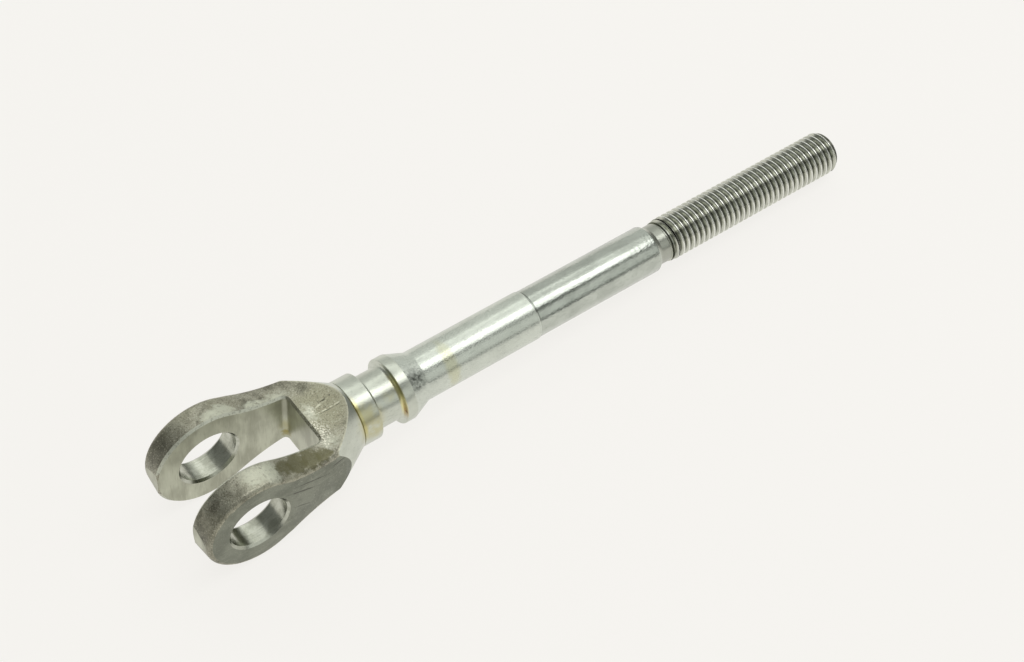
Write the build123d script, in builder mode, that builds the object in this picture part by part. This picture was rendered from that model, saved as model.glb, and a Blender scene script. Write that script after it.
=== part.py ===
"""Clevis rod end: a drop-forged fork on a long turned shank, all in one piece of steel.

The origin is the centre of the pin bore, midway between the two ears.  +X runs along
the shank to its threaded end, +Y is the pin axis and +Z is up.  Millimetres.
"""

import os
from math import radians, sqrt, tan

from build123d import *

# Pin bore through both ears
pin_diameter = 18.0
bore_chamfer = 0.7
bore_land = 0.6  # flat left around the bore's chamfer on the outer faces

# Eyes at the ends of the ears
eye_wall = 7.9  # steel around the bore
tip_flat_depth = 0.6  # how far the milled flat cuts into the tip

# Slot between the ears
slot_width = 18.0
slot_depth = 25.0  # from the pin axis to the bottom of the slot
slot_corner_radius = 1.5
slot_edge_chamfer = 0.7

# Forged fork
ear_thickness = 8.0
draft_angle = 5.0  # the rims lean in towards the outer faces, to leave the die
yoke_height = 19.4
waist_radius = 45.0  # hollow curve from the eye down to the yoke
flank_angle = 6.0  # the outer faces lean in behind the eye
forged_edge_radius = 1.6

# Turned cone behind the yoke
web_length = 14.15  # from the bottom of the slot to the front collar
cone_angle = 34.5  # between the axis and the cone's side
cone_end_diameter = 17.4  # where the cone meets the face of the front collar

# Collars, with a groove between them for the lip of a seal
collar_diameter = 20.5
front_collar_length = 5.85
groove_diameter = 16.6
groove_length = 8.4
groove_corner_radius = 1.2
rear_collar_length = 3.3
rear_taper_length = 6.2
collar_edge_chamfer = 0.3

# Shank: a guide length, then a length that is turned a little smaller
guide_diameter = 15.5
guide_length = 39.8
shank_diameter = 15.0
shank_length = 45.3
shoulder_length = 1.6

# M14 x 2 thread, held here as a plain cylinder of its major diameter.  It is rolled,
# so the unthreaded neck before it has the pitch diameter of the thread.
thread_diameter = 13.9
thread_blank_diameter = 12.6
thread_neck_length = 2.6
thread_length = 69.2
thread_end_chamfer = 1.3

# Fork sizes that follow
eye_radius = pin_diameter / 2 + eye_wall
half_slot = slot_width / 2
half_width = half_slot + ear_thickness
half_height = yoke_height / 2
flank_start = pin_diameter / 2 + bore_chamfer + bore_land
tip_x = tip_flat_depth - eye_radius

# Radii and stations along the shank that follow
cone_end_radius = cone_end_diameter / 2
collar_radius = collar_diameter / 2
groove_radius = groove_diameter / 2
guide_radius = guide_diameter / 2
shank_radius = shank_diameter / 2
thread_radius = thread_diameter / 2
blank_radius = thread_blank_diameter / 2
cone_end = slot_depth + web_length
groove_start = cone_end + front_collar_length
groove_end = groove_start + groove_length
rear_collar_end = groove_end + rear_collar_length
guide_start = rear_collar_end + rear_taper_length
guide_end = guide_start + guide_length
shoulder = guide_end + shank_length
neck_start = shoulder + shoulder_length
thread_start = neck_start + thread_neck_length
thread_full = thread_start + thread_radius - blank_radius
thread_end = thread_start + thread_length


def side_outline(plane):
    """The fork seen along the pin: a round eye, a hollow waist and the yoke's flat back."""
    waist_x = sqrt((eye_radius + waist_radius) ** 2 - (half_height + waist_radius) ** 2)
    touch = Vector(waist_x, half_height + waist_radius).normalized() * eye_radius
    with BuildSketch(plane) as outline:
        with BuildLine():
            Polyline((cone_end, 0), (cone_end, half_height), (waist_x, half_height))
            RadiusArc((waist_x, half_height), touch, waist_radius)
            TangentArc((touch.X, touch.Y), (-eye_radius, 0), tangent=(-touch.Y, touch.X))
            mirror(about=Plane.XZ)
        make_face()
    return outline.sketch


with BuildPart() as clevis_rod_end:
    # Half of the forged blank: the block beside the slot, then the drafted ear
    extrude(side_outline(Plane.XZ), amount=half_slot)
    extrude(side_outline(Plane.XZ.offset(half_slot)), amount=ear_thickness, taper=draft_angle)

    # The outer face is flat beside the eye and leans in towards the yoke
    with BuildSketch(Plane.XY) as half_plan:
        flank_end = -half_width + (cone_end - flank_start) * tan(radians(flank_angle))
        with BuildLine():
            Polyline(
                (-eye_radius, 0),
                (-eye_radius, -half_width),
                (flank_start, -half_width),
                (cone_end, flank_end),
                (cone_end, 0),
                close=True,
            )
        make_face()
    extrude(amount=eye_radius, both=True, mode=Mode.INTERSECT)
    outer_faces = clevis_rod_end.faces().filter_by(lambda face: face.normal_at().Y < -0.9)
    fillet(outer_faces.edges(), forged_edge_radius)
    mirror(about=Plane.XZ)

    # The back of the yoke is turned to a cone
    cone_reach = half_width + eye_radius
    with BuildSketch(Plane.XZ) as cone_side:
        with BuildLine():
            Polyline(
                (-eye_radius, 0),
                (-eye_radius, cone_reach),
                (cone_end - (cone_reach - cone_end_radius) / tan(radians(cone_angle)), cone_reach),
                (cone_end, cone_end_radius),
                (cone_end, 0),
                close=True,
            )
        make_face()
    revolve(axis=Axis.X, mode=Mode.INTERSECT)

    # The slot, with rounded corners at its bottom and broken edges along its rims
    with BuildSketch(Plane.XY):
        with Locations((slot_depth, 0)):
            Rectangle(slot_depth + eye_radius, slot_width, align=(Align.MAX, Align.CENTER))
        fillet(vertices().group_by(Axis.X)[-1], slot_corner_radius)
    extrude(amount=eye_radius, both=True, mode=Mode.SUBTRACT)
    slot_faces = clevis_rod_end.faces(Select.LAST).filter_by(
        lambda face: abs(face.normal_at().Z) < 0.01 and abs(face.center().Y) < half_slot + 0.01
    )
    slot_rims = slot_faces.edges().filter_by(lambda edge: abs(edge.tangent_at(0.5).Z) < 0.99)
    chamfer(slot_rims, slot_edge_chamfer)

    # Flats milled across the tips of both eyes
    with BuildSketch(Plane.YZ.offset(tip_x)):
        Rectangle(2 * half_width, 2 * eye_radius)
    extrude(amount=-tip_flat_depth, mode=Mode.SUBTRACT)

    # The pin bore
    with BuildSketch(Plane.XZ):
        Circle(pin_diameter / 2)
    extrude(amount=half_width, both=True, mode=Mode.SUBTRACT)
    bore_edges = clevis_rod_end.edges(Select.LAST).filter_by(GeomType.CIRCLE)
    chamfer(bore_edges, bore_chamfer)

    # Everything behind the yoke is turned
    with BuildSketch(Plane.XZ) as turned_side:
        with BuildLine():
            Polyline(
                (cone_end - web_length / 2, 0),
                (cone_end - web_length / 2, groove_radius),
                (cone_end, groove_radius),
                (cone_end, collar_radius),
                (groove_start, collar_radius),
                (groove_start, groove_radius),
                (groove_end, groove_radius),
                (groove_end, collar_radius),
                (rear_collar_end, collar_radius),
                (guide_start, guide_radius),
                (guide_end, guide_radius),
                (guide_end, shank_radius),
                (shoulder, shank_radius),
                (neck_start, blank_radius),
                (thread_start, blank_radius),
                (thread_full, thread_radius),
                (thread_end - thread_end_chamfer, thread_radius),
                (thread_end, thread_radius - thread_end_chamfer),
                (thread_end, 0),
                close=True,
            )
        make_face()
        groove_corners = vertices().filter_by(
            lambda corner: abs(corner.Y - groove_radius) < 0.01 and corner.X > cone_end + 0.01
        )
        fillet(groove_corners, groove_corner_radius)
        collar_edges = vertices().filter_by(
            lambda corner: abs(corner.Y - collar_radius) < 0.01 and corner.X > cone_end + 0.01
        )
        chamfer(collar_edges, collar_edge_chamfer)
    revolve(axis=Axis.X)

clevis_rod_end.part.label = "clevis_rod_end"
os.makedirs("parts", exist_ok=True)
export_step(clevis_rod_end.part, "parts/clevis_rod_end.step")
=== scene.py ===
# %% [markdown]
# # A forged clevis rod end
#
# This lesson dresses one steel part: a fork with two eyes for a clevis pin, a grooved
# collar behind it, a long turned shank and a rolled thread. The part was drop forged in
# one piece, its slot, bore, collars and shank were then machined, its thread was rolled,
# and the whole was plated with zinc.
#
# The CAD model gives every size. It is loaded as the frame, and each piece made here
# stands exactly where the CAD node is, in metres: +X runs to the thread, +Y is the pin.

# %% Load the CAD frame
from math import atan, asin, cos, degrees, hypot, pi, radians, sin, tan

import bpy
from mathutils import Matrix, Vector


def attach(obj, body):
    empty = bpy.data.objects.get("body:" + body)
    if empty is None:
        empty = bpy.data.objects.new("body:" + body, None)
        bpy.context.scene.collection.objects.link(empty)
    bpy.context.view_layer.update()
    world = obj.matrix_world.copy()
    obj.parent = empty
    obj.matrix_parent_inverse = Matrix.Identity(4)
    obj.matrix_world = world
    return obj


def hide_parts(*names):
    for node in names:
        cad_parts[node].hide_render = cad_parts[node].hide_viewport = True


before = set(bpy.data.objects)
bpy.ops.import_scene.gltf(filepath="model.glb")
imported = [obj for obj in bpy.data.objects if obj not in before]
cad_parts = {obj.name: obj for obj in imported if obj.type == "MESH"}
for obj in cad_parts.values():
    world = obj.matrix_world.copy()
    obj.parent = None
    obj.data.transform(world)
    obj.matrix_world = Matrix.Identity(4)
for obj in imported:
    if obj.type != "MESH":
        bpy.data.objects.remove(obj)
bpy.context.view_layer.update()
cad_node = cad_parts["clevis_rod_end"]
MM = 0.001

# %% [markdown]
# ## Sizes
#
# The turned part is a solid of revolution, so it is fully told by stations along the axis
# and radii. They are the sizes of the CAD model, in millimetres, and they are also used
# by the finishes, which stain the corners and the thread's root.

# %% Stations and radii, in millimetres
CONE_END = 38.85
CONE_SLOPE = 0.589
GROOVE_START = 45.0
GROOVE_END = 53.4
REAR_COLLAR_END = 56.7
GUIDE_START = 62.9
GUIDE_END = 102.7
SHOULDER = 148.0
NECK_START = 149.6
THREAD_START = 152.2
THREAD_END = 221.4
COLLAR_RADIUS = 10.25
GROOVE_RADIUS = 8.3
GUIDE_RADIUS = 7.75
SHANK_RADIUS = 7.5
NECK_RADIUS = 6.3
THREAD_RADIUS = 6.95
THREAD_END_CHAMFER = 1.3
PITCH = 2.0
ROOT_RADIUS = 5.78
EAR_RIM_RADIUS = 16.84
HALF_SLOT = 9.0
BORE_RADIUS = 9.0
SLOT_DEPTH = 25.0
YOKE_HALF_HEIGHT = 9.7
WAIST_END = 29.19
WAIST_RADIUS = 45.0
BACK_RADIUS = 36.0
FLANK_SLOPE = 0.1051


# %% [markdown]
# ## Camera
#
# The camera looks down on the part from the front left with a long lens, so that far and
# near keep nearly the same scale. Its place is told by azimuth, elevation and roll, the
# way a studio stand is set.

# %% Place the camera
CAMERA_AZIMUTH = -40.896
CAMERA_ELEVATION = 52.079
CAMERA_ROLL = 5.341
CAMERA_PLACE = (-0.147776, -0.283497, 0.477468)
LENS_MM = 72.914

camera_data = bpy.data.cameras.new("studio_camera")
camera_data.lens = LENS_MM
camera_data.sensor_width = 36.0
camera_data.sensor_fit = "HORIZONTAL"
camera_data.clip_start = 0.01
camera = bpy.data.objects.new("studio_camera", camera_data)
bpy.context.collection.objects.link(camera)
camera.matrix_world = (
    Matrix.Translation(CAMERA_PLACE)
    @ Matrix.Rotation(radians(CAMERA_AZIMUTH), 4, "Z")
    @ Matrix.Rotation(radians(90 - CAMERA_ELEVATION), 4, "X")
    @ Matrix.Rotation(radians(CAMERA_ROLL), 4, "Z")
)
bpy.context.scene.camera = camera
print("camera lens", LENS_MM, "mm")

# %% [markdown]
# ## Node helpers
#
# A finish is a small tree of nodes. One function adds a node with its settings, its
# socket values and its links, and one turns a hex colour, as a paint chart gives it,
# into the linear values that the shader wants.


# %% Helpers for finishes
def linear(hex_colour):
    """An sRGB colour such as "#8a8b80" as linear red, green, blue and alpha."""
    channels = [int(hex_colour[i : i + 2], 16) / 255 for i in (1, 3, 5)]
    return [c / 12.92 if c <= 0.04045 else ((c + 0.055) / 1.055) ** 2.4 for c in channels] + [1.0]


def add_node(tree, kind, settings={}, values={}, links={}):
    """Add one node: its settings, the values of its sockets, and what feeds them."""
    node = tree.nodes.new(kind)
    for name, value in settings.items():
        setattr(node, name, value)
    for name, value in values.items():
        node.inputs[name].default_value = value
    for name, source in links.items():
        tree.links.new(source, node.inputs[name])
    return node


def new_finish(name, metallic, roughness):
    """A material with a bare metal shader, its node tree and its shader node."""
    material = bpy.data.materials.new(name)
    material.use_nodes = True
    shader = material.node_tree.nodes["Principled BSDF"]
    shader.inputs["Metallic"].default_value = metallic
    shader.inputs["Roughness"].default_value = roughness
    return material, material.node_tree, shader


# %% [markdown]
# ## Modelling helpers
#
# Both turned pieces start from a profile: a plane is merged to one point, the point is
# moved to the start of the profile, and each further point is extruded from the last,
# as one would click out a line by hand.


# %% Helpers for modelling
def deselect():
    """Leave edit mode's object and every selection behind."""
    bpy.ops.object.select_all(action="DESELECT")
    bpy.context.view_layer.objects.active = None


def draw_profile(name, points_mm):
    """An object with one line through these (x, radius) points, in the XZ plane."""
    deselect()
    bpy.ops.mesh.primitive_plane_add(size=MM, location=(0, 0, 0))
    piece = bpy.context.object
    piece.name = name
    bpy.ops.object.mode_set(mode="EDIT")
    bpy.ops.mesh.merge(type="CENTER")
    last = Vector((0, 0, 0))
    for index, (x, radius) in enumerate(points_mm):
        place = Vector((x * MM, 0, radius * MM))
        if index == 0:
            bpy.ops.transform.translate(value=place - last)
        else:
            bpy.ops.mesh.extrude_vertices_move(TRANSFORM_OT_translate={"value": place - last})
        last = place
    return piece


def finish_piece(piece, smooth_angle):
    """Leave edit mode, shade the rounds smooth, and put the piece on the frame."""
    if bpy.context.mode != "OBJECT":
        bpy.ops.object.mode_set(mode="OBJECT")
    deselect()
    piece.select_set(True)
    bpy.context.view_layer.objects.active = piece
    bpy.ops.object.shade_smooth_by_angle(angle=radians(smooth_angle))
    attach(piece, "root")
    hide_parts("clevis_rod_end")
    print(piece.name, len(piece.data.vertices), "vertices,", len(piece.data.polygons), "faces")


# %% [markdown]
# ## Forged fork
#
# The fork's form is right in the CAD model up to the bottom of the slot, so its mesh is
# copied, merged and cut off square there. Behind the cut the real yoke swells a little
# towards the collar before the lathe cuts it to a cone. So the cut face is extruded in
# steps, and each step is scaled to the height and width that the forging has there. A
# spun cone is then the cutter, as the turning tool is.


# %% Copy the fork and extrude its back
def yoke_height_at(x):
    """Half the height of the yoke: a hollow curve, lowest where the waist ends."""
    radius = WAIST_RADIUS if x < WAIST_END else BACK_RADIUS
    return YOKE_HALF_HEIGHT + (x - WAIST_END) ** 2 / (2 * radius)


BACK_START = 25.8
BACK_STEPS = 12
fork = cad_node.copy()
fork.data = cad_node.data.copy()
fork.name = "forged_fork"
fork.data.materials.clear()
fork.parent = None
for key in list(fork.keys()):
    if key.startswith("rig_"):
        del fork[key]
bpy.context.collection.objects.link(fork)
deselect()
fork.select_set(True)
bpy.context.view_layer.objects.active = fork
bpy.ops.mesh.customdata_custom_splitnormals_clear()
bpy.ops.object.mode_set(mode="EDIT")
bpy.ops.mesh.select_all(action="SELECT")
bpy.ops.mesh.remove_doubles(threshold=0.001 * MM)
bpy.ops.mesh.bisect(
    plane_co=(BACK_START * MM, 0, 0), plane_no=(1, 0, 0), use_fill=True, clear_outer=True
)
bpy.ops.object.mode_set(mode="OBJECT")
half_width = max(v.co.y for v in fork.data.vertices if v.co.x > (BACK_START - 0.01) * MM) / MM
for face in fork.data.polygons:
    face.select = face.normal.x > 0.999 and face.center.x > (BACK_START - 0.01) * MM
bpy.ops.object.mode_set(mode="EDIT")
bpy.ops.mesh.select_mode(type="FACE")
step = (CONE_END + 0.5 - BACK_START) / BACK_STEPS
for index in range(BACK_STEPS):
    x = BACK_START + step * index
    wide, wider = half_width - FLANK_SLOPE * step * index, half_width - FLANK_SLOPE * step * (index + 1)
    bpy.ops.mesh.extrude_region_move(TRANSFORM_OT_translate={"value": (step * MM, 0, 0)})
    bpy.ops.transform.resize(
        value=(1, wider / wide, yoke_height_at(x + step) / yoke_height_at(x)),
        center_override=((x + step) * MM, 0, 0),
    )
bpy.ops.mesh.select_mode(type="VERT")
bpy.ops.object.mode_set(mode="OBJECT")
print("half width of the yoke at its back", round(half_width, 2), "mm")

# %% Turn the back to a cone
CUTTER_RADIUS = 40.0
cutter = draw_profile(
    "cone_cutter",
    [
        (-CUTTER_RADIUS, 0),
        (-CUTTER_RADIUS, CUTTER_RADIUS),
        (CONE_END - (CUTTER_RADIUS - COLLAR_RADIUS) / CONE_SLOPE, CUTTER_RADIUS),
        (CONE_END, COLLAR_RADIUS),
        (CONE_END, 0),
    ],
)
bpy.ops.mesh.select_all(action="SELECT")
bpy.ops.mesh.spin(steps=192, angle=2 * pi, center=(0, 0, 0), axis=(1, 0, 0))
bpy.ops.mesh.select_all(action="SELECT")
bpy.ops.mesh.remove_doubles(threshold=0.001 * MM)
bpy.ops.mesh.normals_make_consistent(inside=False)
bpy.ops.object.mode_set(mode="OBJECT")
deselect()
fork.select_set(True)
bpy.context.view_layer.objects.active = fork
turning = fork.modifiers.new("turning", "BOOLEAN")
turning.operation = "INTERSECT"
turning.solver = "EXACT"
turning.object = cutter
bpy.ops.object.modifier_apply(modifier="turning")
bpy.data.objects.remove(cutter)
finish_piece(fork, 30)

# %% [markdown]
# ## Turned shank
#
# The collars, the groove, the taper and the shank come off the lathe in one setting, so
# they are one profile spun round the axis. Corners that the tool leaves round get a few
# points on an arc.


# %% Spin the shank
def arc(centre_x, centre_r, radius, start, end, steps):
    """Points on an arc, from one angle to another in degrees, 0 along +X and 90 outwards."""
    angles = [radians(start + (end - start) * i / steps) for i in range(steps + 1)]
    return [(centre_x + radius * cos(a), centre_r + radius * sin(a)) for a in angles]


EDGE_RADIUS = 0.3
CORNER_RADIUS = 1.2
STEP_UNDERCUT = 0.13
RUN_OUT = 3.5
shank_profile = (
    [(CONE_END - 6, 0), (CONE_END - 6, GROOVE_RADIUS)]
    + [(CONE_END - 0.1, COLLAR_RADIUS - 0.2), (CONE_END + 0.1, COLLAR_RADIUS - 0.2)]
    + [(CONE_END + 0.25, COLLAR_RADIUS)]
    + arc(GROOVE_START - EDGE_RADIUS, COLLAR_RADIUS - EDGE_RADIUS, EDGE_RADIUS, 90, 0, 4)
    + arc(GROOVE_START + CORNER_RADIUS, GROOVE_RADIUS + CORNER_RADIUS, CORNER_RADIUS, 180, 270, 8)
    + arc(GROOVE_END - CORNER_RADIUS, GROOVE_RADIUS + CORNER_RADIUS, CORNER_RADIUS, 270, 360, 8)
    + arc(GROOVE_END + EDGE_RADIUS, COLLAR_RADIUS - EDGE_RADIUS, EDGE_RADIUS, 180, 90, 4)
    + [(REAR_COLLAR_END - 0.15, COLLAR_RADIUS), (REAR_COLLAR_END + 0.15, COLLAR_RADIUS - 0.06)]
    + [(GUIDE_START - 0.2, GUIDE_RADIUS + 0.08), (GUIDE_START + 0.3, GUIDE_RADIUS)]
    + [(GUIDE_END - 0.25, GUIDE_RADIUS), (GUIDE_END, GUIDE_RADIUS - 0.12)]
    + [(GUIDE_END + 0.02, SHANK_RADIUS - STEP_UNDERCUT), (GUIDE_END + 0.3, SHANK_RADIUS - STEP_UNDERCUT)]
    + [(GUIDE_END + 0.45, SHANK_RADIUS)]
    + [(SHOULDER - 0.2, SHANK_RADIUS), (SHOULDER + 0.15, SHANK_RADIUS - 0.12)]
    + [(NECK_START - 0.2, NECK_RADIUS + 0.12), (NECK_START + 0.3, NECK_RADIUS)]
    + [(THREAD_START + 0.3, NECK_RADIUS), (THREAD_START + RUN_OUT, ROOT_RADIUS - 0.05)]
    + [(THREAD_START + RUN_OUT, 0)]
)
shank = draw_profile("turned_shank", shank_profile)
bpy.ops.mesh.select_all(action="SELECT")
bpy.ops.mesh.spin(steps=160, angle=2 * pi, center=(0, 0, 0), axis=(1, 0, 0))
bpy.ops.mesh.select_all(action="SELECT")
bpy.ops.mesh.remove_doubles(threshold=0.001 * MM)
bpy.ops.mesh.normals_make_consistent(inside=False)
finish_piece(shank, 25)

# %% [markdown]
# ## Rolled thread
#
# An M14 x 2 thread: a ridge of 60 degrees that climbs 2 mm each turn, with crests and
# roots that the rolling dies leave round. One pitch of its profile is drawn, and a Screw
# modifier sweeps it up the axis, turn by turn. A turned blank is then the cutter: it
# lets the ridge grow out of the neck and rounds off the end.

# %% Roll the thread
ROUNDING = (PITCH / 2 - (THREAD_RADIUS - ROOT_RADIUS) * tan(radians(30))) / (
    2 * cos(radians(30)) - tan(radians(30))
)
TURNS = 37
HELIX_START = THREAD_START - 2 * PITCH
helix_profile = (
    arc(0, ROOT_RADIUS + ROUNDING, ROUNDING, 270, 330, 4)
    + arc(PITCH / 2, THREAD_RADIUS - ROUNDING, ROUNDING, 150, 30, 6)
    + arc(PITCH, ROOT_RADIUS + ROUNDING, ROUNDING, 210, 270, 4)
)
print("crests and roots are rounded to", round(ROUNDING, 3), "mm")
thread = draw_profile("rolled_thread", [(HELIX_START + x, r) for x, r in helix_profile])
bpy.ops.object.mode_set(mode="OBJECT")
screw = thread.modifiers.new("helix", "SCREW")
screw.axis = "X"
screw.screw_offset = PITCH * MM
screw.iterations = TURNS
screw.steps = 64
screw.render_steps = 64
screw.use_merge_vertices = True
screw.merge_threshold = 0.001 * MM
bpy.ops.object.modifier_apply(modifier="helix")
print("helix", len(thread.data.polygons))

# %% Cut the ends of the thread
bpy.ops.object.mode_set(mode="EDIT")
bpy.ops.mesh.select_all(action="SELECT")
bpy.ops.mesh.remove_doubles(threshold=0.002 * MM)
bpy.ops.mesh.bisect(
    plane_co=((THREAD_START - 0.5) * MM, 0, 0), plane_no=(-1, 0, 0), use_fill=True, clear_outer=True
)
bpy.ops.mesh.select_all(action="SELECT")
bpy.ops.mesh.bisect(
    plane_co=((THREAD_END + 0.5) * MM, 0, 0), plane_no=(1, 0, 0), use_fill=True, clear_outer=True
)
bpy.ops.mesh.select_all(action="SELECT")
bpy.ops.mesh.normals_make_consistent(inside=False)
bpy.ops.object.mode_set(mode="OBJECT")

# A prime number of steps, so that no edge of the blank falls on one of the ridge
BLANK_STEPS = 127
blank = draw_profile(
    "thread_blank",
    [
        (THREAD_START - 1, 0),
        (THREAD_START - 1, NECK_RADIUS - 0.35),
        (THREAD_START + 1.2, NECK_RADIUS + 0.25),
        (THREAD_START + 4.0, THREAD_RADIUS + 0.05),
        (THREAD_END - 2.6, THREAD_RADIUS + 0.05),
        (THREAD_END - 1.5, THREAD_RADIUS - 0.35),
        (THREAD_END - 0.7, THREAD_RADIUS - 0.85),
        (THREAD_END - 0.2, THREAD_RADIUS - 1.35),
        (THREAD_END, THREAD_RADIUS - 1.8),
        (THREAD_END, 0),
    ],
)
bpy.ops.mesh.select_all(action="SELECT")
bpy.ops.mesh.spin(steps=BLANK_STEPS, angle=2 * pi, center=(0, 0, 0), axis=(1, 0, 0))
bpy.ops.mesh.select_all(action="SELECT")
bpy.ops.mesh.remove_doubles(threshold=0.001 * MM)
bpy.ops.mesh.normals_make_consistent(inside=False)
bpy.ops.object.mode_set(mode="OBJECT")

deselect()
thread.select_set(True)
bpy.context.view_layer.objects.active = thread
cut = thread.modifiers.new("blank", "BOOLEAN")
cut.operation = "INTERSECT"
cut.solver = "EXACT"
cut.object = blank
bpy.ops.object.modifier_apply(modifier="blank")
bpy.data.objects.remove(blank)
bpy.ops.object.mode_set(mode="EDIT")
bpy.ops.mesh.select_all(action="SELECT")
bpy.ops.mesh.remove_doubles(threshold=0.001 * MM)
bpy.ops.mesh.select_all(action="DESELECT")
bpy.ops.mesh.select_non_manifold()
bpy.ops.object.mode_set(mode="OBJECT")
print("open edges of the thread", sum(edge.select for edge in thread.data.edges))
finish_piece(thread, 80)

# %% [markdown]
# ## Finishes
#
# Zinc plating takes the look of the steel under it. Where the hammer left the steel
# rough, the plating is grainy and brownish; where a cutter went, it is silver and shows
# the cutter's marks; in corners the rinse water dries and leaves a yellow stain. So each
# surface gets a finish of its own, all on the same plated steel. Every pattern reads the
# point in millimetres, so that its size can be told as a real one.


# %% Tools for patterns
def point_in_mm(tree):
    """The point on the part, in millimetres, as x, y and z."""
    place = add_node(tree, "ShaderNodeTexCoord")
    return add_node(
        tree, "ShaderNodeVectorMath", {"operation": "SCALE"}, {"Scale": 1000.0}, {0: place.outputs["Object"]}
    ).outputs[0]


def grains(tree, point, size_mm, low, high, detail=2.0, stretch=(1, 1, 1)):
    """Grains of a size: 0 where the noise is under low, 1 where it is over high."""
    squeezed = add_node(
        tree, "ShaderNodeMapping", {}, {"Scale": [1 / (size_mm * s) for s in stretch]}, {"Vector": point}
    )
    noise = add_node(
        tree,
        "ShaderNodeTexNoise",
        {},
        {"Scale": 1.0, "Detail": detail, "Roughness": 0.55},
        {"Vector": squeezed.outputs[0]},
    )
    return add_node(
        tree,
        "ShaderNodeMapRange",
        {"interpolation_type": "SMOOTHSTEP"},
        {"From Min": low, "From Max": high},
        {"Value": noise.outputs[0]},
    ).outputs[0]


def lay_over(tree, under, colour, mask, strength, broken_by=None):
    """Lay a colour over another, or over a plain hex colour, where the mask is 1."""
    amount = add_node(tree, "ShaderNodeMath", {"operation": "MULTIPLY"}, {1: strength}, {0: mask}).outputs[0]
    if broken_by is not None:
        amount = add_node(
            tree, "ShaderNodeMath", {"operation": "MULTIPLY"}, {}, {0: amount, 1: broken_by}
        ).outputs[0]
    plain = isinstance(under, str)
    values = {6: linear(under), 7: linear(colour)} if plain else {7: linear(colour)}
    links = {0: amount} if plain else {0: amount, 6: under}
    return add_node(tree, "ShaderNodeMix", {"data_type": "RGBA"}, values, links).outputs[2]


def spot(tree, point, centre_mm, reach_mm, soft_mm, wobble_mm=2.5, squash=(1, 1, 1)):
    """A round spot with a ragged edge: 1 inside its reach, 0 outside."""
    ragged = add_node(
        tree, "ShaderNodeTexNoise", {}, {"Scale": 0.55, "Detail": 4.0, "Roughness": 0.65}, {"Vector": point}
    )
    shifted = add_node(
        tree,
        "ShaderNodeVectorMath",
        {"operation": "MULTIPLY_ADD"},
        {1: [2 * wobble_mm] * 3},
        {0: ragged.outputs["Color"], 2: point},
    )
    local = add_node(
        tree,
        "ShaderNodeMapping",
        {"vector_type": "TEXTURE"},
        {"Location": [c + wobble_mm for c in centre_mm], "Scale": squash},
        {"Vector": shifted.outputs[0]},
    )
    away = add_node(tree, "ShaderNodeVectorMath", {"operation": "LENGTH"}, {}, {0: local.outputs[0]})
    return add_node(
        tree,
        "ShaderNodeMapRange",
        {"interpolation_type": "SMOOTHSTEP"},
        {"From Min": reach_mm + soft_mm, "From Max": reach_mm - soft_mm},
        {"Value": away.outputs["Value"]},
    ).outputs[0]


def scratch(tree, point, start_mm, end_mm, width_mm, up_axis="Z"):
    """A thin line between two points: 1 on it, 0 beside it. Its up axis is Z on a level
    face and Y on an upright one, so that it may lie a little over or under the surface."""
    start, end = Vector(start_mm), Vector(end_mm)
    turn = (end - start).to_track_quat("X", up_axis).to_euler()
    trembling = grains(tree, point, 1.2, 0.0, 1.0)
    local = add_node(
        tree,
        "ShaderNodeMapping",
        {"vector_type": "TEXTURE"},
        {
            "Location": (start + end) / 2,
            "Rotation": turn,
            "Scale": ((end - start).length / 2, width_mm, width_mm * 4),
        },
        {"Vector": point},
    )
    away = add_node(tree, "ShaderNodeVectorMath", {"operation": "LENGTH"}, {}, {0: local.outputs[0]})
    far = add_node(tree, "ShaderNodeMath", {"operation": "ADD"}, {}, {0: away.outputs["Value"], 1: trembling})
    return add_node(
        tree, "ShaderNodeMapRange", {}, {"From Min": 1.75, "From Max": 1.2}, {"Value": far.outputs[0]}
    ).outputs[0]


# %% [markdown]
# ### Forged skin
#
# The hammered skin was blasted with shot to knock off the scale, and then plated. It is
# pitted all over at about a third of a millimetre, brownish grey in the hollows and
# bright on the crests. Where hands and the trimming tool rubbed it, along the slot, it
# is pale zinc; in the waist of one ear an oily patch has stayed olive. Two thin streaks
# on the yoke are what is left of the flash that the trimming die cut off.

# %% Forged skin
forged, tree, shader = new_finish("shot_blasted_zinc_on_forged_steel", 1.0, 0.42)
point = point_in_mm(tree)
hollows = grains(tree, point, 0.42, 0.48, 0.3, 3.0)
crests = grains(tree, point, 0.42, 0.56, 0.7, 3.0)
blotches = grains(tree, point, 3.2, 0.3, 0.64, 3.0)
broad = grains(tree, point, 11.0, 0.4, 0.62, 1.0)
ragged = grains(tree, point, 1.1, 0.25, 0.48, 4.0)

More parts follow.
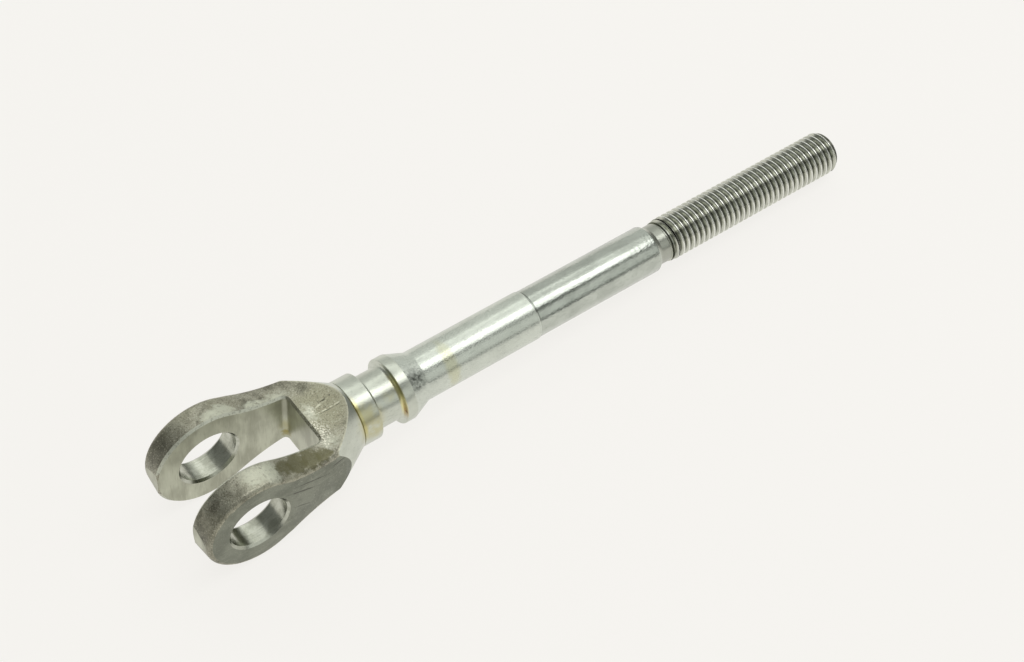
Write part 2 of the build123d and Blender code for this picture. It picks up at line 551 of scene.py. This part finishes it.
skin = lay_over(tree, "#767466", "#adab9b", blotches, 1.0)
skin = lay_over(tree, skin, "#b0ae9a", broad, 0.55)
olive_yoke = spot(tree, point, (31, 0, 9.7), 7.5, 3.0)
skin = lay_over(tree, skin, "#a8a68e", olive_yoke, 0.75)
DARK_ENDS = [((-13, 13, 9), 5.5, 3.5), ((-14.5, -13, 5), 4.2, 3.5), ((30.5, 8.5, 9.5), 1.6, 2.0)]
for centre, reach, soft in DARK_ENDS:
    skin = lay_over(tree, skin, "#55554a", spot(tree, point, centre, reach, soft), 0.65)
skin = lay_over(tree, skin, "#4a493e", hollows, 0.55)
skin = lay_over(tree, skin, "#cfcdb9", crests, 0.6)
PALE_PATCHES = [
    ((2.5, 10.6, 16.6), 1.9, 1.2, 0.8, (1.6, 1, 1)),
    ((6.5, 11.0, 15.2), 2.3, 0.6, 1.0, (1.8, 1.1, 1)),
    ((15.5, 10.0, 11.9), 1.7, 0.8, 1.0, (2.4, 1, 1)),
    ((22.0, 10.0, 10.0), 1.5, 1.0, 0.85, (2.0, 1, 1)),
    ((1.5, -12.3, 16.2), 2.6, 1.6, 0.75, (1.3, 1.2, 1)),
    ((6.0, -13.2, 15.2), 2.7, 1.2, 0.9, (1.0, 1.4, 1)),
    ((27.4, 0.8, 9.7), 1.7, 1.2, 0.9, (1, 1.5, 1)),
    ((27.0, -10.8, 9.7), 1.8, 1.3, 0.55, (1.4, 1, 1)),
]
for centre, reach, soft, strength, squash in PALE_PATCHES:
    patch = spot(tree, point, centre, reach, soft, 2.5, squash)
    skin = lay_over(tree, skin, "#ced0be", patch, strength, ragged)
SPECKLED = [((26.4, -4.0, 9.8), 1.8), ((26.8, -6.6, 9.7), 2.2), ((26.0, -9.6, 9.8), 1.8), ((28.0, 0.5, 9.7), 1.6)]
bright_specks = grains(tree, point, 0.45, 0.47, 0.6, 3.0)
for centre, reach in SPECKLED:
    skin = lay_over(tree, skin, "#eeecdc", spot(tree, point, centre, reach, 1.4), 0.95, bright_specks)
OILY = [((10.8, -12.8, 13.3), 2.5), ((14.8, -12.8, 11.8), 3.2), ((19.2, -13.0, 10.6), 3.2), ((23.0, -13.2, 10.0), 2.2)]
for centre, reach in OILY:
    skin = lay_over(tree, skin, "#6b694f", spot(tree, point, centre, reach, 0.6), 0.85)
STREAKS = [
    ((28.6, -0.9, 9.7), (36.6, -1.3, 10.4), 0.2, "#dcdbc6"),
    ((29.0, -1.4, 9.7), (36.2, -1.8, 10.4), 0.12, "#5a594c"),
    ((29.2, 0.8, 9.7), (32.6, 1.6, 9.9), 0.35, "#d2d1bc"),
    ((31.2, 1.7, 9.8), (36.0, 2.4, 10.3), 0.3, "#504f43"),
]
dotted = grains(tree, point, 0.7, 0.38, 0.56, 2.0)
for start, end, width, colour in STREAKS:
    skin = lay_over(tree, skin, colour, scratch(tree, point, start, end, width), 0.9, dotted)
parts = add_node(tree, "ShaderNodeSeparateXYZ", {}, {}, {0: point})
outwards = add_node(tree, "ShaderNodeMath", {"operation": "ABSOLUTE"}, {}, {0: parts.outputs["Y"]}).outputs[0]
worn_edge = add_node(
    tree, "ShaderNodeMapRange", {}, {"From Min": 15.6, "From Max": 16.8}, {"Value": outwards}
).outputs[0]
skin = lay_over(tree, skin, "#bdbca8", worn_edge, 0.5, crests)

# The lathe leaves a bright burr where the cone runs out in the skin
round_axis = add_node(tree, "ShaderNodeVectorMath", {"operation": "MULTIPLY"}, {1: (0, 1, 1)}, {0: point})
radius = add_node(tree, "ShaderNodeVectorMath", {"operation": "LENGTH"}, {}, {0: round_axis.outputs[0]})
below_cone = add_node(
    tree,
    "ShaderNodeMath",
    {"operation": "MULTIPLY_ADD"},
    {1: CONE_SLOPE},
    {0: parts.outputs["X"], 2: radius.outputs["Value"]},
).outputs[0]
CONE_SUM = COLLAR_RADIUS + CONE_SLOPE * CONE_END
burr = add_node(
    tree, "ShaderNodeMapRange", {}, {"From Min": CONE_SUM - 0.45, "From Max": CONE_SUM - 0.1}, {"Value": below_cone}
).outputs[0]
skin = lay_over(tree, skin, "#cfceba", burr, 0.75, ragged)
tree.links.new(skin, shader.inputs["Base Color"])
gloss = add_node(
    tree, "ShaderNodeMapRange", {}, {"To Min": 0.46, "To Max": 0.32}, {"Value": crests}
).outputs[0]
tree.links.new(gloss, shader.inputs["Roughness"])
dents = add_node(
    tree, "ShaderNodeBump", {}, {"Distance": 0.2 * MM, "Strength": 0.2}, {"Height": blotches}
).outputs[0]
grit = add_node(
    tree, "ShaderNodeBump", {}, {"Distance": 0.05 * MM, "Strength": 0.6}, {"Height": crests, "Normal": dents}
).outputs[0]
pitted = add_node(
    tree,
    "ShaderNodeBump",
    {"invert": True},
    {"Distance": 0.05 * MM, "Strength": 0.6},
    {"Height": hollows, "Normal": grit},
).outputs[0]
tree.links.new(pitted, shader.inputs["Normal"])

# %% [markdown]
# ### Coined faces
#
# The outer faces of the ears were struck flat in the last blow. The die left them
# smoother and darker than the rims, with a few long scratches from the tote bin.

# %% Coined faces
coined, tree, shader = new_finish("coined_zinc_on_forged_steel", 1.0, 0.4)
point = point_in_mm(tree)
cloud = grains(tree, point, 7.0, 0.35, 0.62, 3.0)
hollows = grains(tree, point, 0.5, 0.44, 0.3)
crests = grains(tree, point, 0.5, 0.58, 0.72)
rubs = grains(tree, point, 0.5, 0.62, 0.74, 1.0, (18, 8, 1))
face = lay_over(tree, "#75786b", "#878a7c", cloud, 1.0)
face = lay_over(tree, face, "#5f6055", hollows, 0.4)
face = lay_over(tree, face, "#b0b2a3", crests, 0.4)
face = lay_over(tree, face, "#9fa192", rubs, 0.5)
SCRATCHES = [
    ((9.0, -17.0, 6.2), (19.0, -16.1, 1.4), 0.3),
    ((12.0, -16.8, 7.3), (23.0, -15.7, 3.2), 0.22),
    ((24.6, -15.5, 5.4), (29.0, -15.0, 5.9), 0.35),
    ((10.8, -17.0, -1.5), (17.0, -16.3, -4.6), 0.16),
    ((12.0, 16.8, 5.0), (22.0, 15.8, 2.0), 0.2),
    ((-4.0, 17.0, -14.2), (8.0, 17.0, -13.0), 0.16),
]
for start, end, width in SCRATCHES:
    face = lay_over(tree, face, "#4f4f45", scratch(tree, point, start, end, width, "Y"), 0.8)
tree.links.new(face, shader.inputs["Base Color"])
struck = add_node(
    tree, "ShaderNodeBump", {}, {"Distance": 0.2 * MM, "Strength": 0.12}, {"Height": cloud}
).outputs[0]
rubbed = add_node(
    tree, "ShaderNodeBump", {}, {"Distance": 0.02 * MM, "Strength": 0.4}, {"Height": rubs, "Normal": struck}
).outputs[0]
fine = add_node(
    tree, "ShaderNodeBump", {}, {"Distance": 0.03 * MM, "Strength": 0.4}, {"Height": crests, "Normal": rubbed}
).outputs[0]
tree.links.new(fine, shader.inputs["Normal"])

# %% [markdown]
# ### Milled faces
#
# The slot and the flats at the tips were milled. The cutter turned about an upright
# axis, so its marks run up and down the cheeks, and the plating over them is olive
# grey and dull. Rinse water dried in one corner of the slot. The burrs at the edges
# were filed off, which left a narrow bevel of pale zinc; its lighter colour is also
# a painted highlight along the bevel.

# %% Milled faces and filed edges
milled, tree, shader = new_finish("zinc_on_milled_steel", 1.0, 0.36)
point = point_in_mm(tree)
haze = grains(tree, point, 5.0, 0.33, 0.66, 3.0, (1, 1, 2.2))
dark_marks = grains(tree, point, 0.4, 0.44, 0.3, 2.0, (1, 1, 12))
light_marks = grains(tree, point, 0.4, 0.58, 0.74, 2.0, (1, 1, 12))
cheek = lay_over(tree, "#a3a492", "#bfc1ae", haze, 1.0)
cheek = lay_over(tree, cheek, "#8b8a76", dark_marks, 0.25)
cheek = lay_over(tree, cheek, "#d8d8c8", light_marks, 0.25)
cheek = lay_over(tree, cheek, "#8f8238", spot(tree, point, (25.0, 8.8, -6.5), 1.4, 1.0, 1.5), 0.85)
cheek = lay_over(tree, cheek, "#b3ab73", spot(tree, point, (25.0, 8.8, -3.0), 1.8, 1.6, 1.5), 0.5)
tree.links.new(cheek, shader.inputs["Base Color"])
combed = add_node(
    tree, "ShaderNodeBump", {}, {"Distance": 0.015 * MM, "Strength": 0.4}, {"Height": light_marks}
).outputs[0]
tree.links.new(combed, shader.inputs["Normal"])

# The bevel's pale colour is filed zinc and also a painted highlight along the edge.
filed, tree, shader = new_finish("zinc_on_filed_edge_painted_highlight", 0.6, 0.5)
point = point_in_mm(tree)
nicks = grains(tree, point, 0.7, 0.5, 0.3, 3.0)
edge = lay_over(tree, "#d4d6c6", "#a3a493", nicks, 0.8)
tree.links.new(edge, shader.inputs["Base Color"])

# %% [markdown]
# ### Bored holes
#
# The pin bores were finished with a boring bar, so they are the brightest surface of the
# fork, with rings too fine to count. The rings spread the shine along the bore.

# %% Bored holes
bored, tree, shader = new_finish("zinc_on_bored_steel", 1.0, 0.24)
point = point_in_mm(tree)
smears = grains(tree, point, 3.0, 0.35, 0.62, 3.0)
rings = grains(tree, point, 0.35, 0.44, 0.3, 1.0, (20, 1, 20))
wall = lay_over(tree, "#a9ab9d", "#c3c5b8", smears, 1.0)
wall = lay_over(tree, wall, "#83847a", rings, 0.2)
tree.links.new(wall, shader.inputs["Base Color"])
ringed = add_node(
    tree, "ShaderNodeBump", {"invert": True}, {"Distance": 0.01 * MM, "Strength": 0.5}, {"Height": rings}
).outputs[0]
tree.links.new(ringed, shader.inputs["Normal"])

# %% [markdown]
# ### Turned and ground steel
#
# The length behind the fork was made in three ways, and the shine tells them apart. The
# collars and the groove are plain turned and softly bright. The guide was ground and
# its plating has a haze of fine grit. The long shank is the drawn bar itself: it is the
# smoothest, and mirrors the room as a dark band with long drawing marks in it.


# %% Turned and ground steel
def plated_bar(name, roughness, light, dark, grit_mm, grit_depth_mm, streak_depth_mm):
    """Zinc on bright steel: its material, tree, shader, point and colour so far."""
    material, tree, shader = new_finish(name, 1.0, roughness)
    point = point_in_mm(tree)
    mottle = grains(tree, point, 5.0, 0.32, 0.66, 3.0, (1.6, 1, 1))
    streaks = grains(tree, point, 0.5, 0.46, 0.3, 3.0, (3.0, 1, 1))
    grit = grains(tree, point, grit_mm, 0.35, 0.65, 3.0, (1.6, 1, 1))
    colour = lay_over(tree, dark, light, mottle, 1.0)
    colour = lay_over(tree, colour, "#8b9088", streaks, 0.25)
    drawn = add_node(
        tree,
        "ShaderNodeBump",
        {"invert": True},
        {"Distance": streak_depth_mm * MM, "Strength": 1.0},
        {"Height": streaks},
    ).outputs[0]
    gritty = add_node(
        tree,
        "ShaderNodeBump",
        {},
        {"Distance": grit_depth_mm * MM, "Strength": 1.0},
        {"Height": grit, "Normal": drawn},
    ).outputs[0]
    tree.links.new(gritty, shader.inputs["Normal"])
    return material, tree, shader, point, colour, mottle


turned, tree, shader, point, metal, mottle = plated_bar(
    "zinc_on_turned_steel", 0.29, "#cfd3c7", "#c3c7bb", 0.45, 0.006, 0.002
)
axis_point = add_node(tree, "ShaderNodeSeparateXYZ", {}, {}, {0: point})
STAINED_CORNERS = [
    (CONE_END + 0.5, 0.9, (39.3, -7.5, 6.5), 5.5, "#d6cd8c", 0.95),
    (CONE_END, 0.3, (39.0, -8.0, 5.5), 7.5, "#857a36", 0.9),
    (GROOVE_END - 0.35, 0.75, (53.2, -6.4, 6.2), 6.0, "#dfd8a0", 0.95),
    (GROOVE_END - 0.15, 0.35, (53.2, -9.2, 1.6), 2.4, "#9c7a34", 0.8),
]
for station, reach, centre, spread, colour, strength in STAINED_CORNERS:
    off = add_node(
        tree, "ShaderNodeMath", {"operation": "SUBTRACT"}, {1: station}, {0: axis_point.outputs["X"]}
    )
    off = add_node(tree, "ShaderNodeMath", {"operation": "ABSOLUTE"}, {}, {0: off.outputs[0]})
    near = add_node(
        tree, "ShaderNodeMapRange", {}, {"From Min": reach, "From Max": reach / 3}, {"Value": off.outputs[0]}
    ).outputs[0]
    dried = spot(tree, point, centre, spread, 2.5, 1.5)
    metal = lay_over(tree, metal, colour, near, strength, dried)
drips = grains(tree, point, 2.6, 0.2, 0.62, 3.0)
RINSE_STAINS = [
    ((42.0, -9.0, 3.5), 4.6, 2.5, "#c0ba8c", 0.7),
    ((41.0, -6.5, 7.5), 2.4, 1.8, "#c8c498", 0.6),
    ((42.0, 7.0, -7.5), 3.5, 2.5, "#c0ba8c", 0.6),
    ((50.5, -5.0, 6.6), 1.8, 1.5, "#cfcca6", 0.5),
]
for centre, reach, soft, colour, strength in RINSE_STAINS:
    metal = lay_over(tree, metal, colour, spot(tree, point, centre, reach, soft, 1.5), strength, drips)
rust_spot = spot(tree, point, (53.3, -9.4, 1.2), 0.45, 0.3, 0.3)
metal = lay_over(tree, metal, "#6e4324", rust_spot, 0.9)
metal = lay_over(tree, metal, "#a3a59b", spot(tree, point, (151, 0, 0), 7.5, 0.8, 0.4), 0.8)
tree.links.new(metal, shader.inputs["Base Color"])

ground, tree, shader, point, metal, mottle = plated_bar(
    "zinc_on_ground_steel", 0.24, "#d4d9cf", "#ccd1c7", 0.4, 0.008, 0.003
)
yellow_ring = spot(tree, point, (71.6, -5.0, 4.5), 5.5, 2.5, 1.5, (0.35, 1.3, 1.3))
metal = lay_over(tree, metal, "#c9c79a", yellow_ring, 0.45)
taper_grit = grains(tree, point, 1.0, 0.75, 0.25, 4.0)
metal = lay_over(tree, metal, "#3c403a", spot(tree, point, (59.3, -5.2, 7.0), 2.8, 2.0, 0.8), 1.0, taper_grit)
tree.links.new(metal, shader.inputs["Base Color"])
pits = grains(tree, point, 0.16, 0.45, 0.55, 1.0)
hazy = add_node(
    tree, "ShaderNodeMapRange", {}, {"To Min": 0.17, "To Max": 0.42}, {"Value": pits}
).outputs[0]
tree.links.new(hazy, shader.inputs["Roughness"])

drawn, tree, shader, point, metal, mottle = plated_bar(
    "zinc_on_drawn_bar", 0.14, "#c3c8bf", "#b3b8af", 0.5, 0.013, 0.004
)
tree.links.new(metal, shader.inputs["Base Color"])

# %% [markdown]
# ### Thread
#
# The rolled ridge is plated zinc. Its crests are painted lighter, a painted highlight,
# and it is painted darker with the depth below the crest, a painted shade in the root.

# %% Thread
rolled, tree, shader = new_finish("zinc_on_rolled_thread", 1.0, 0.22)
point = point_in_mm(tree)
smears = grains(tree, point, 2.5, 0.35, 0.65, 3.0)
round_axis = add_node(tree, "ShaderNodeVectorMath", {"operation": "MULTIPLY"}, {1: (0, 1, 1)}, {0: point})
radius = add_node(tree, "ShaderNodeVectorMath", {"operation": "LENGTH"}, {}, {0: round_axis.outputs[0]})
# Painted shade: the root of the thread is painted darker with its depth below the crest.
root_painted_shade = add_node(
    tree,
    "ShaderNodeMapRange",
    {},
    {"From Min": ROOT_RADIUS + 0.6, "From Max": ROOT_RADIUS + 0.1},
    {"Value": radius.outputs["Value"]},
).outputs[0]
# Painted highlight: the crests of the ridge are painted lighter.
crest_painted_highlight = add_node(
    tree,
    "ShaderNodeMapRange",
    {},
    {"From Min": THREAD_RADIUS - 0.25, "From Max": THREAD_RADIUS - 0.05},
    {"Value": radius.outputs["Value"]},
).outputs[0]
ridge = lay_over(tree, "#b6b8ac", "#caccc0", smears, 1.0)
ridge = lay_over(tree, ridge, "#eeefe8", crest_painted_highlight, 0.9)
parts = add_node(tree, "ShaderNodeSeparateXYZ", {}, {}, {0: point})
past_start = add_node(
    tree,
    "ShaderNodeMapRange",
    {},
    {"From Min": THREAD_START + 0.5, "From Max": THREAD_START + 5.0, "To Min": 0.25},
    {"Value": parts.outputs["X"]},
).outputs[0]
# The painted shade in the root is weaker over the first turns past the neck.
ridge = lay_over(tree, ridge, "#3a3b32", root_painted_shade, 0.78, past_start)
tree.links.new(ridge, shader.inputs["Base Color"])
dull = grains(tree, point, 0.4, 0.3, 0.7)
tree.links.new(
    add_node(
        tree, "ShaderNodeBump", {}, {"Distance": 0.006 * MM, "Strength": 0.6}, {"Height": dull}
    ).outputs[0],
    shader.inputs["Normal"],
)

# %% [markdown]
# ## Which face gets which finish
#
# The fork is one mesh, so its faces are sorted by where they are and which way they
# face: cheeks, slot bottom and tip flats are milled, the bevels along them filed, the
# bore bored, the cone turned, the outer faces coined, and all the rest is forged skin.
# The turned length is sorted by its stations.

# %% Assign the finishes
FORK_FINISHES = [forged, coined, milled, filed, bored, turned]
for material in FORK_FINISHES:
    fork.data.materials.append(material)


def fork_finish(face):
    """The finish of one face of the fork."""
    x, y, z = face.center / MM
    nx, ny, nz = face.normal
    from_pin = hypot(x, z)
    off_cone = hypot(y, z) - COLLAR_RADIUS - (CONE_END - x) * CONE_SLOPE
    if from_pin < BORE_RADIUS + 0.75 and (abs(ny) < 0.2 or 0.6 < abs(ny) < 0.8):
        return bored
    if abs(y) < HALF_SLOT + 0.02 and abs(nz) < 0.02 and x < SLOT_DEPTH + 0.1:
        return milled
    if abs(y) < HALF_SLOT + 0.7 and 0.2 < abs(nz) < 0.9 and x < SLOT_DEPTH - 0.1:
        return filed
    if nx < -0.99 and x < -16:
        return milled
    if x > SLOT_DEPTH and abs(off_cone) < 0.25 and nx > 0.35:
        return turned
    return coined if abs(ny) > 0.985 else forged


for face in fork.data.polygons:
    face.material_index = FORK_FINISHES.index(fork_finish(face))
print("fork faces of each finish", [sum(f.material_index == i for f in fork.data.polygons) for i in range(6)])

SHANK_FINISHES = [turned, ground, drawn]
for material in SHANK_FINISHES:
    shank.data.materials.append(material)
for face in shank.data.polygons:
    x = face.center.x / MM
    if REAR_COLLAR_END < x < GUIDE_END:
        face.material_index = 1
    elif GUIDE_END <= x < SHOULDER:
        face.material_index = 2
thread.data.materials.append(rolled)

# %% [markdown]
# ## Floor and light
#
# The part lies on a pale floor as it comes to rest: on the rims of both ears and on the
# end of its thread. A metal shows what stands round it, so the light is built like a
# studio table. One bright softbox overhead draws the line of light along the shank. Two
# dimmer panels fade away behind it. A dim panel on the camera's side, with a dark gap on
# either side of it, gives the grey band under the line. The pale floor fills the rest.

# %% Floor
REST_TILT = asin(EAR_RIM_RADIUS / hypot(THREAD_END - THREAD_END_CHAMFER, THREAD_RADIUS)) - atan(
    THREAD_RADIUS / (THREAD_END - THREAD_END_CHAMFER)
)
FLOOR_GAP = 0.03
deselect()
bpy.ops.mesh.primitive_plane_add(size=6.0)
floor = bpy.context.object
floor.name = "studio_floor"
floor_up = Vector((-sin(REST_TILT), 0, cos(REST_TILT)))
floor.matrix_world = Matrix.Translation(
    -(EAR_RIM_RADIUS + FLOOR_GAP) * MM * floor_up
) @ Matrix.Rotation(-REST_TILT, 4, "Y")
print("the part rests tilted by", round(degrees(REST_TILT), 2), "degrees")

FLOOR_COLOUR = "#f9f7f3"
OWN_BRIGHTNESS = 0.88
paper, tree, shader = new_finish("studio_paper", 0.0, 0.9)
shader.inputs["Base Color"].default_value = linear(FLOOR_COLOUR)
rays = add_node(tree, "ShaderNodeLightPath")
plain = add_node(tree, "ShaderNodeEmission", {}, {"Color": linear(FLOOR_COLOUR), "Strength": 1.0})
seen = add_node(
    tree,
    "ShaderNodeMath",
    {"operation": "MAXIMUM"},
    {},
    {0: rays.outputs["Is Camera Ray"], 1: rays.outputs["Is Glossy Ray"]},
)
share = add_node(tree, "ShaderNodeMath", {"operation": "MULTIPLY"}, {1: OWN_BRIGHTNESS}, {0: seen.outputs[0]})
mixed = add_node(
    tree, "ShaderNodeMixShader", {}, {}, {0: share.outputs[0], 1: shader.outputs[0], 2: plain.outputs[0]}
)
tree.links.new(mixed.outputs[0], tree.nodes["Material Output"].inputs["Surface"])
floor.data.materials.append(paper)


# %% Lamps
def add_softbox(name, place, target, width, height, brightness, colour):
    """A rectangular lamp of even brightness at a place, turned to a target, in metres."""
    lamp = bpy.data.lights.new(name, "AREA")
    lamp.shape = "RECTANGLE"
    lamp.size = width
    lamp.size_y = height
    lamp.energy = brightness * pi * width * height
    lamp.color = linear(colour)[:3]
    holder = bpy.data.objects.new(name, lamp)
    bpy.context.collection.objects.link(holder)
    facing = (Vector(target) - Vector(place)).to_track_quat("-Z", "Y")
    holder.matrix_world = Matrix.Translation(place) @ facing.to_matrix().to_4x4()
    holder.visible_camera = False
    print(name, round(lamp.energy, 1), "W")
    return holder


add_softbox("line_softbox", (0.5, -0.2, 1.1), (0.5, -0.2, 0), 1.7, 0.52, 2.1, "#ffffff")
add_softbox("upper_panel", (0.5, 0.52, 1.1), (0.2, 0, 0), 1.8, 0.8, 0.85, "#fdfefb")
add_softbox("back_panel", (0.5, 1.5, 0.85), (0.2, 0, 0), 3.0, 1.7, 0.5, "#fbfdf9")
add_softbox("front_panel", (0.6, -1.22, 0.68), (0.1, 0, 0), 2.0, 0.86, 0.6, "#fbfdf9")

world = bpy.data.worlds.new("studio_room")
bpy.context.scene.world = world
world.use_nodes = True
room_light = world.node_tree.nodes["Background"]
rays = add_node(world.node_tree, "ShaderNodeLightPath")
room = add_node(
    world.node_tree,
    "ShaderNodeMix",
    {"data_type": "RGBA"},
    {6: linear("#7a7c79"), 7: linear(FLOOR_COLOUR)},
    {0: rays.outputs["Is Camera Ray"]},
)
world.node_tree.links.new(room.outputs[2], room_light.inputs["Color"])
room_light.inputs["Strength"].default_value = 1.0

bpy.context.scene.view_settings.view_transform = "Standard"
